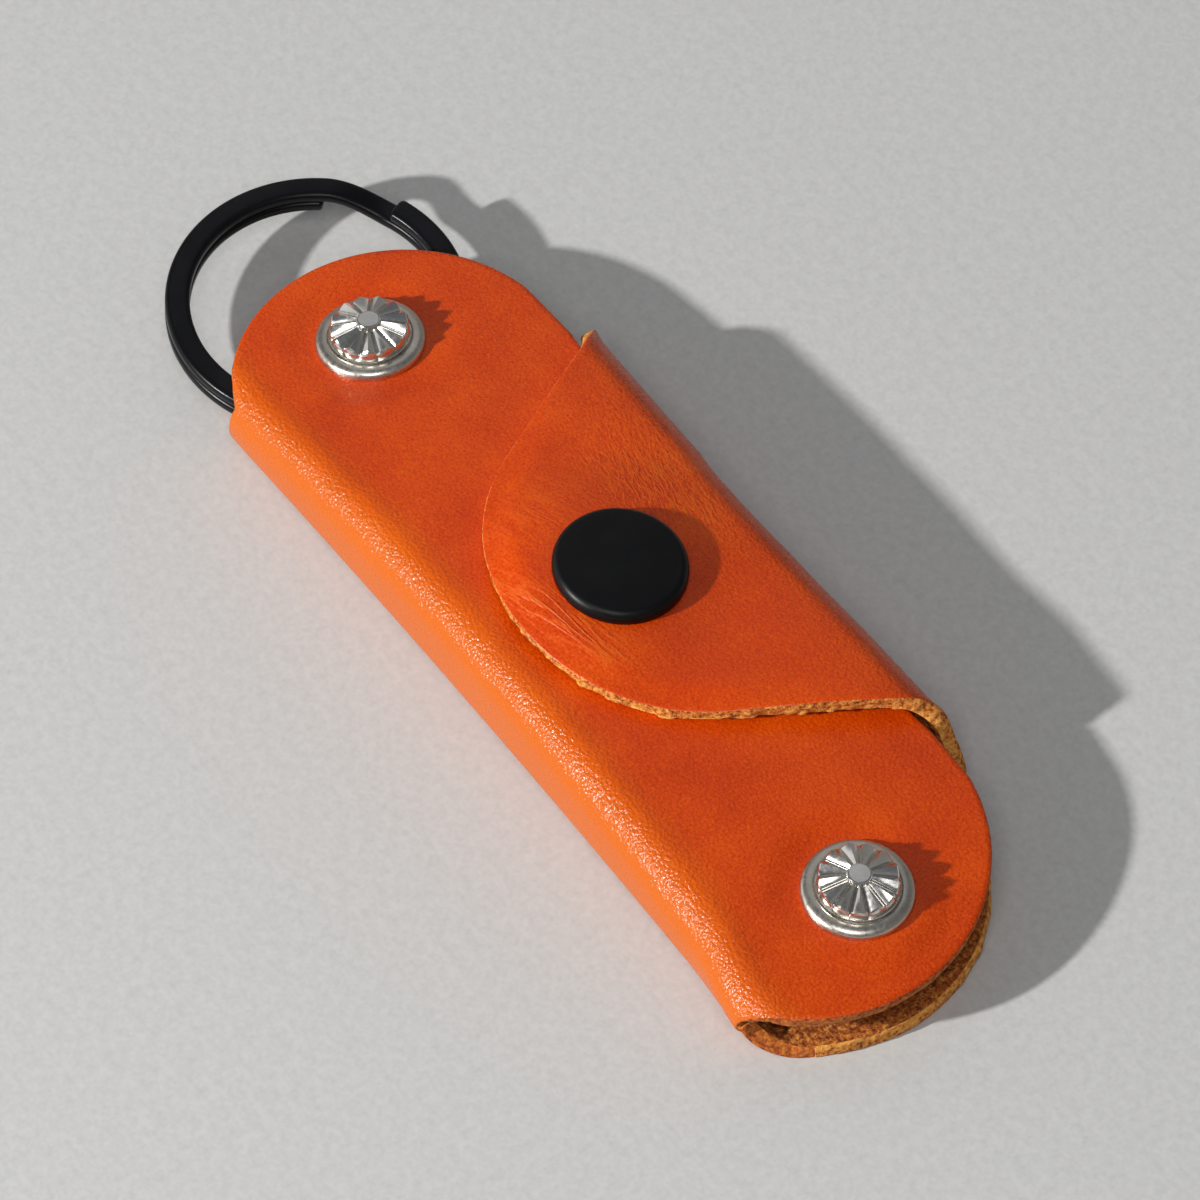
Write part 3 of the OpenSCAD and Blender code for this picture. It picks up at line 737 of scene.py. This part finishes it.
def makeSheet(name, surface, outline, flip, fray, thickness, seed, edgeMaterial, lift):
    # the surface function on an even grid of x and s, cut to the outline by moving the last
    # points onto it; a second layer lies one thickness below, and rows of points close the rim
    cell = cut["cell"]
    outline = evenSteps(outline, cut["outlineStep"])
    low, high = outline.min(0), outline.max(0)
    counts = np.ceil((high - low) / cell).astype(int) + 2
    gridX = low[0] - cell / 2 + cell * np.arange(counts[0])
    gridS = cell * np.arange(counts[1])
    flat = np.stack(np.meshgrid(gridX, gridS, indexing="ij"), -1).reshape(-1, 2)
    out, normal, at = besideOutline(flat, outline)
    inside = (out < cut["keep"] * cell) & (flat[:, 1] > -1e-9)
    quads = gridQuads(counts[0], counts[1])[:, ::-1]
    quads = quads[inside[quads].all(1)]
    # points with fewer than four cells round them are the border; the seam stays straight
    uses = np.bincount(quads.ravel(), minlength=len(flat))
    border = (uses > 0) & (uses < 4)
    seam = border & (flat[:, 1] < 1e-6)
    flat = np.where((border & ~seam)[:, None], flat - normal * out[:, None], flat)
    corner = np.zeros(len(flat), bool)
    seamLine = outline[np.abs(outline[:, 1]) < cut["onSeam"]]
    for pick, sign in ((np.argmin, -1), (np.argmax, 1)):
        end = np.flatnonzero(seam)[pick(flat[seam, 0])]
        flat[end] = seamLine[pick(seamLine[:, 0])]
        flat[end, 1] = 0
        normal[end] = (sign, 0)
        corner[end] = True
    used, quads = usedOnly(quads)
    flat, border, seam, normal, at, corner = (a[used] for a in (flat, border, seam, normal, at, corner))
    x, s = flat.T
    step = 0.02
    alongX = (surface(x + step, s) - surface(x - step, s)) / (2 * step)
    alongS = (surface(x, s + step) - surface(x, s - step)) / (2 * step)
    points = surface(x, s)
    upwards = unit(np.cross(alongX, alongS)) * flip
    points = points + upwards * lift(points)[:, None]
    thick = thickness(points)
    under = points - upwards * thick[:, None]
    # rim rows on the border points
    ids = np.flatnonzero(border)
    outward = unit(alongX[ids] * normal[ids, :1] + alongS[ids] * normal[ids, 1:])
    count = int(len(outline) / cut["frayEvery"])
    place = (at[ids] / cut["frayEvery"]).astype(int) % count
    rows, fringe = [], fray(points[ids])
    for k, (depth, bulge, rough) in enumerate(rim):
        loose = smoothNoise(count, 2, seed + k)[place] * 0.5 + smoothNoise(count, 7, seed + 50)[place] * 0.5
        reach = bulge + fringe * rough * loose * cut["fray"]
        reach = np.where(seam[ids] & ~corner[ids], 0, reach)
        sink = depth * thick[ids]
        rows.append(points[ids] - upwards[ids] * sink[:, None] + outward * reach[:, None])
    number = len(points)
    allPoints = np.vstack([points, under] + rows)
    # border edges: those that only one cell has, in the order in which the cell walks them
    edges = np.vstack([quads[:, [i, (i + 1) % 4]] for i in range(4)])
    key = np.sort(edges, 1) @ np.array([number, 1])
    _, index, uses = np.unique(key, return_index=True, return_counts=True)
    edges = edges[index[uses == 1]]
    # from the skin over the rim's rows to the layer below: where each row holds a skin point
    rank = np.zeros(number, int)
    rank[ids] = np.arange(len(ids))
    layers = [2 * number + k * len(ids) + rank for k in range(len(rim))]
    layers = [np.arange(number)] + layers + [number + np.arange(number)]
    begin, end = edges.T
    strips = [np.c_[upper[end], upper[begin], lower[begin], lower[end]]
              for upper, lower in zip(layers, layers[1:])]
    faces = np.vstack([quads, quads[:, ::-1] + number] + strips)
    if flip < 0:
        faces = faces[:, ::-1]
    # grain on top and on the first strip, flesh below, cut edge between
    slots = np.repeat([0, 2, 0, 1], [len(quads), len(quads), len(edges), (len(strips) - 1) * len(edges)])
    piece = makePiece(name, allPoints * mm + home, faces, [grainLeather, edgeMaterial, fleshSide], slots,
                      sharp=68)
    flatAll = np.vstack([flat, flat] + [flat[ids]] * len(rim))
    addMap(piece, "flatSheet", flatAll)
    addFloat(piece, "depth", np.r_[np.zeros(number), np.ones(number), np.repeat(rim[:, 0], len(ids))])
    return piece, flatAll, allPoints


# seats in the leather for the metal: radius and the slope round it, depth, and where they lie
seats = {"socket": (4.7, 0.5), "socketDeep": 0.55, "flange": (4.75, 0.3), "flangeDeep": 0.38,
         "headX": 37.86, "head": (4.0, 0.3), "headDeep": 0.66, "frontAbove": 8, "backBelow": 0.1}
# how frayed the cut edges are: on top, round the fold, on the flap and on the back panel
frayed = {"top": 0.25, "fold": 0.9, "foldOver": (10, 3), "flap": 0.45, "flapFar": 0.8,
          "farOver": (-8, 14), "back": 0.8, "flapAbove": 3}


def evenThickness(points):
    return np.full(len(points), sheet["thick"])


def flapThickness(points):
    # the socket is let into the underside of the flap, and the pressed edge is thinner
    x, y = points[:, 0], points[:, 1]
    away = np.hypot(x, y - flap["snapY"])
    let = seats["socketDeep"] * (1 - ease(away, *seats["socket"])) + pressedEdge(x, y)
    return sheet["thick"] - let * (points[:, 2] > seats["frontAbove"])


def recesses(points):
    # round seats for the posts' flat heads in the underside of the back panel
    sink = np.zeros(len(points))
    for side in (-1, 1):
        away = np.hypot(points[:, 0] - side * seats["headX"], points[:, 1])
        deep = seats["headDeep"] * (1 - ease(away, *seats["head"]))
        sink = sink - deep * (points[:, 2] < seats["backBelow"])
    return sink


def studSeat(points):
    # the stud's flange is let into the skin of the front panel
    away = np.hypot(points[:, 0], points[:, 1] - flap["snapY"])
    return -seats["flangeDeep"] * (1 - ease(away, *seats["flange"])) * (points[:, 2] > seats["frontAbove"])


def frontFray(points):
    # smooth burnished edge on top, rougher round the spine's fold
    return frayed["top"] + frayed["fold"] * ease(-points[:, 1], *frayed["foldOver"])


def flapFray(points):
    # the far side of the flap and the back panel are the roughest
    onFlap = frayed["flap"] + frayed["flapFar"] * ease(points[:, 0], *frayed["farOver"])
    return np.where(points[:, 2] > frayed["flapAbove"], onFlap, frayed["back"])


# where the grain is pale, opened and folded; the pale spine wall is painted light as well as stretch; a
# length is in mm before or after a mark
grain = {"shoulderBefore": 1.8, "shoulderLong": 2.4, "shoulderFolds": 0.12, "wallPaleLit": 0.85,
         "paleOver": (1.0, 6.5), "arcBefore": 3.0, "arcLong": 3.5, "arcPale": 0.15, "arcOpen": 0.35,
         "arcFolds": 0.22, "bendFolds": 0.65, "besideFolds": 0.4, "foldsAbove": 4}
# patches of folds on the flap: x, y, half lengths along and across, and slope
foldPatches = {"underCap": (1.5, -6.3, 6.5, 1.9, 0.3), "besideCap": (-9.5, -2.0, 3.0, 4.0, 0),
               "onBend": (-7, 9.5, 9, 4.5, 0)}


def foldPatch(points, x, y, long, wide, slope):
    # 1 in the middle of a patch, fading out along and across it
    along = points[:, 0] - x
    across = points[:, 1] - y - slope * along
    return np.exp(-(along / long) ** 2 - (across / wide) ** 2)


caseSkin, caseFlat, _ = makeSheet(
    "leather_case", caseSurface, caseOutline(), 1, frontFray, evenThickness, 11, shadedCaseEdge,
    studSeat)
caseS = caseFlat[:, 1]
shoulder = np.exp(-((caseS - caseMarks[4] + grain["shoulderBefore"]) / grain["shoulderLong"]) ** 2)
# painted light: the spine's wall and lower shoulder, lit by the key light, are painted paler, with the
# stretch of the fold
addFloat(caseSkin, "bend", grain["wallPaleLit"] * (1 - ease(caseS - caseMarks[3], *grain["paleOver"])))
addFloat(caseSkin, "openGrain", shoulder)
addFloat(caseSkin, "tipFolds", 0 * shoulder)
addFloat(caseSkin, "bendFolds", grain["shoulderFolds"] * shoulder)
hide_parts("leather_body")
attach(caseSkin, "case")
print("case skin made")

flapSkin, flapFlat, flapPoints = makeSheet(
    "leather_flap_skin", flapSurface, flapOutline(), -1, flapFray, flapThickness, 71, rawEdge,
    recesses)
flapArc = np.exp(-((flapFlat[:, 1] - flapMarks[4] + grain["arcBefore"]) / grain["arcLong"]) ** 2)
underCap, besideCap, onBend = (foldPatch(flapPoints, *patch) for patch in foldPatches.values())
tipFolds = underCap + grain["besideFolds"] * besideCap
bendFolds = np.clip(grain["bendFolds"] * onBend + grain["arcFolds"] * flapArc, 0, 1)
folding = flapPoints[:, 2] > grain["foldsAbove"]
addFloat(flapSkin, "bend", grain["arcPale"] * flapArc)
addFloat(flapSkin, "openGrain", grain["arcOpen"] * flapArc)
addFloat(flapSkin, "tipFolds", tipFolds * folding)
addFloat(flapSkin, "bendFolds", bendFolds * folding)
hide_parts("leather_flap")
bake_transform(flapSkin)
print("flap skin made")


# washers and flower-head screws, in mm from the leather along the screw's own axis
def screwPlace(side):
    # from a screw's own axis, counted from the front panel's skin, to the shared frame
    turn = leanAlong(sheet["lean"] * side)
    foot = np.array([side * sheet["screwX"], 0, sheet["screwTop"]])
    return lambda points: (points @ turn.T + foot) * mm + home


washer = {"rimR": 5.2, "crestR": 4.15, "crest": 1.0, "crestFall": 0.03, "seatR": 3.95, "top": 0.92,
          "inner": 1.62, "seat": -0.1, "lip": 0.14, "bevel": 0.06, "step": 0.05, "sink": 0.06}
headSeat = washer["seat"] + washer["top"] - washer["sink"]  # where the flower head lies in the washer


def makeWasher(name, side, node):
    # a plain lip, a round that climbs to the crest, a gentle fall, and a step down to the seat
    seat, rimR, crestR, seatR = washer["seat"], washer["rimR"], washer["crestR"], washer["seatR"]
    inner, bevel, lipTop = washer["inner"], washer["bevel"], seat + washer["lip"]
    climb, crestTop = washer["crest"] - washer["lip"], seat + washer["crest"]
    arc = np.linspace(0, math.pi / 2, 12)
    profile = [(inner, seat), (rimR - bevel, seat), (rimR, seat + bevel), (rimR, lipTop)]
    profile += [(crestR + (rimR - crestR) * max(math.cos(a), 0) ** 0.9, lipTop + climb * math.sin(a) ** 0.75)
                for a in arc[1:]]
    profile += [(crestR + (seatR + washer["step"] - crestR) * f, crestTop - washer["crestFall"] * f * f)
                for f in np.linspace(0, 1, 6)[1:]]
    profile += [(seatR, headSeat + 0.02), (seatR - 0.08, headSeat), (inner, headSeat), (inner, seat)]
    piece = revolve(name, profile, screwPlace(side), [satinNickel], steps=128, sharp=38)
    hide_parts(node)
    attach(piece, node)


# the eye's edge is (out from the eye's radius, up from its top, depth of the grooves); a petal's
# outer end is (radius, height on the ridge, depth of the groove, how far the groove is drawn in)
flower = {"petals": 13, "topR": 3.54, "disc": 3.86, "discTop": 0.42, "discBottom": 0.08, "discEdge": 0.1,
          "eye": 1.14, "eyeFlat": 0.55, "eyeTop": 2.24, "eyeGroove": 0.36, "eyeFoot": 0.06,
          "turn": -35.0, "rim": 1.66, "ridge": 1.96, "groove": 0.66, "notch": 0.02,
          "shank": 1.5, "pitch": 0.7, "length": 4.8, "thread": 0.17, "runOut": 0.3,
          "eyeEdge": [(-0.2, -0.01, 0), (-0.08, -0.05, 0), (-0.01, -0.14, 0), (0, -0.34, 0.02)],
          "petalEnd": [(3.68, 1.50, 0.60, 0.06), (3.79, 1.22, 0.50, 0.10), (3.83, 0.86, 0.30, 0.13),
                       (3.85, 0.54, 0.08, 0.16), (3.84, 0.42, 0, 0.17)]}


def makeFlower(name, side, node):
    # rings from the eye out to the petal tips, down to a thin disc and on down the shank; across a
    # petal the height falls evenly from its ridge, and more steeply just before the groove
    half = np.array([0, 0.25, 0.5, 0.7, 0.85, 0.94, 1])
    across = np.r_[half[:-1] / 2, 1 - half[:0:-1] / 2]
    depth = np.r_[half[:-1], half[:0:-1]]
    petals = flower["petals"]
    steps = petals * len(across)
    turn = math.radians(flower["turn"])
    angle = turn + ((np.arange(petals)[:, None] + across) * 2 * np.pi / petals).ravel()
    fall = np.tile(0.72 * depth + 0.28 * depth ** 6, petals)  # 0 on a ridge, 1 in a groove
    inset = np.tile(depth ** 2, petals)
    eye, top, foot = flower["eye"], flower["eyeTop"], flower["eye"] + flower["eyeFoot"]
    rim, ridge, eyeGroove = flower["rim"], flower["ridge"], flower["eyeGroove"]
    disc, discTop = flower["disc"], flower["discTop"]
    rows = [(0.0, top, 0, 0), (flower["eyeFlat"], top, 0, 0)]
    rows += [(eye + out, top + up, groove, 0) for out, up, groove in flower["eyeEdge"]]
    rows += [(foot, ridge, eyeGroove, 0)]
    rows += [(foot + (flower["topR"] - foot) * share, rim + (ridge - rim) * (1 - share ** 1.4),
              eyeGroove + (flower["groove"] - eyeGroove) * share ** 0.8, flower["notch"] * share)
             for share in np.linspace(0, 1, 11)[1:]]
    rows += flower["petalEnd"]
    rows += [(disc - 0.03, discTop - 0.01, 0, 0), (disc, discTop - 0.06, 0, 0),
             (disc, flower["discBottom"], 0, 0), (disc - flower["discEdge"], 0.0, 0, 0)]
    radius, height, groove, notch = np.array(rows).T
    ringR = radius[:, None] - notch[:, None] * inset
    ringZ = headSeat + height[:, None] - groove[:, None] * fall
    # threaded shank: the radius follows a saw that climbs one pitch in a turn
    down = np.linspace(0, -flower["length"], 76)[:, None]
    phase = (down / flower["pitch"] - (angle - turn) / (2 * np.pi)) % 1
    threadDeep = flower["thread"] * np.abs(phase * 2 - 1)
    threadR = flower["shank"] - threadDeep * ease((flower["length"] + down) / flower["runOut"])
    tipZ = washer["seat"] - flower["length"]
    ringR = np.vstack([ringR, np.full((1, steps), flower["shank"]), threadR, np.zeros((1, steps))])
    ringZ = np.vstack([ringZ, np.full((1, steps), headSeat),
                       np.repeat(down + washer["seat"], steps, 1), np.full((1, steps), tipZ)])
    points = aroundAxis(ringR, ringZ, angle)
    ids = np.arange(len(points))
    ids[:steps] = 0
    ids[-steps:] = len(points) - steps
    used, faces = closePoles(gridQuads(len(ringR), steps, closeCols=True)[:, ::-1], ids)
    piece = makePiece(name, screwPlace(side)(points[used]), faces, [polishedNickel], sharp=14)
    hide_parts(node)
    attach(piece, node)


makeWasher("washer_by_ring", -1, "ring_end_washer")
makeWasher("washer_far", 1, "far_end_washer")
makeFlower("flower_by_ring", -1, "ring_end_screw")
makeFlower("flower_far", 1, "far_end_screw")
print("screws and washers made")

# snap cap, in mm; its underside is (out from the radius, height), and the tube (radius, height)
cap = {"radius": 6.25, "rise": 13.02, "tiltX": 5.2, "tiltY": 3.4, "shift": 0.2, "wall": 0.42,
       "round": 0.9, "shoulder": 1.3, "top": 1.52,
       "under": [(0, 0.05), (-0.06, -0.1), (-0.16, -0.16), (-0.5, -0.12), (-0.55, 0.1)],
       "tube": [(1.7, 0.12), (1.7, -1.95), (2.28, -2.06), (2.28, -2.22), (1.35, -2.24), (1.35, -0.4),
                (0, -0.4)]}


def capPlace(points):
    # the cap leans with the leather under it, about its own foot
    about = leanAcross(cap["tiltY"]) @ leanAlong(cap["tiltX"])
    return (points @ about.T + np.array([cap["shift"], flap["snapY"], cap["rise"]])) * mm + home


def makeCap():
    # a low dome, a quarter oval down to a short wall, its underside, and the tube with its flared end
    flatR, wall, shoulder = cap["radius"] - cap["round"], cap["wall"], cap["shoulder"]
    profile = [(f * flatR, shoulder + (cap["top"] - shoulder) * (1 - f * f)) for f in np.linspace(0, 1, 16)]
    profile += [(flatR + cap["round"] * math.cos(a), wall + (shoulder - wall) * math.sin(a))
                for a in np.linspace(math.pi / 2, 0, 14)[1:]]
    profile += [(cap["radius"] + out, height) for out, height in cap["under"]]
    profile += cap["tube"]
    piece = revolve("snap_cap_black", profile[::-1], capPlace, [capLacquer], steps=160, sharp=50)
    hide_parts("snap_cap")
    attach(piece, "flap")


makeCap()

# split ring, in mm and degrees; the section is a superellipse between an oval and an oblong
ring = {"outer": 14.3, "wide": 2.35, "high": 1.3, "pitch": 1.36, "slope": 4.0, "upperEnd": 113.0,
        "cross": 30.0, "pivotX": -38.1163, "shift": 9.45, "rise": 2.66, "nose": 0.5, "square": 3.4,
        "steps": 720, "sides": 32}


def makeRing():
    # a wire with a rounded oblong section carried round two turns; the path is level on the lower
    # turn, climbs in a smooth step over the crossing, and is level again on the upper turn
    count, sides = ring["steps"], ring["sides"]
    degrees = np.linspace(ring["upperEnd"] - (360 - ring["cross"]), ring["upperEnd"] + 360, count)
    climb = ease(degrees, ring["upperEnd"], ring["cross"])
    middle = ring["outer"] - ring["wide"] / 2
    around = np.linspace(0, 2 * np.pi, sides + 1)[:-1]
    power = 2 / ring["square"]
    across = np.sign(np.cos(around)) * np.abs(np.cos(around)) ** power * ring["wide"] / 2
    upright = np.sign(np.sin(around)) * np.abs(np.sin(around)) ** power * ring["high"] / 2
    # the two free ends are rounded off over the length of the nose
    along = np.radians(degrees - degrees[0]) * middle
    nose = np.minimum(np.minimum(along, along[-1] - along) / ring["nose"], 1)
    shrink = np.sqrt(np.maximum(1 - (1 - nose) ** 2, 1e-4))[:, None]
    height = ring["pitch"] * climb[:, None] + upright * shrink
    points = aroundAxis(middle + across * shrink, height, np.radians(degrees)[:, None])
    faces = [gridQuads(count, sides, closeCols=True)[:, ::-1]]
    # both ends close on a middle point
    for row, order in ((0, 1), (count - 1, -1)):
        loop = row * sides + np.arange(sides)
        points = np.vstack([points, points[loop].mean(0)])
        tip = np.full(sides, len(points) - 1)
        near, far = (loop, np.roll(loop, -1))[::order]
        faces.append(np.c_[near, far, tip, tip])
    points = points - np.array([ring["shift"], 0, 0])
    points = points @ leanAlong(ring["slope"]).T + np.array([ring["pivotX"], 0, ring["rise"]])
    piece = makePiece("split_ring_black", points * mm + home, np.vstack(faces), [ringCoat])
    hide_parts("split_ring")
    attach(piece, "ring")


makeRing()
print("cap and ring made")

# CAD nodes that stay as they are
for node in ("snap_socket", "snap_spring", "snap_stud", "snap_eyelet", "ring_end_post", "far_end_post"):
    material = springSteel if node == "snap_spring" else satinNickel
    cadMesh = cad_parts[node].data
    if cadMesh.materials:
        cadMesh.materials[0] = material
    else:
        cadMesh.materials.append(material)
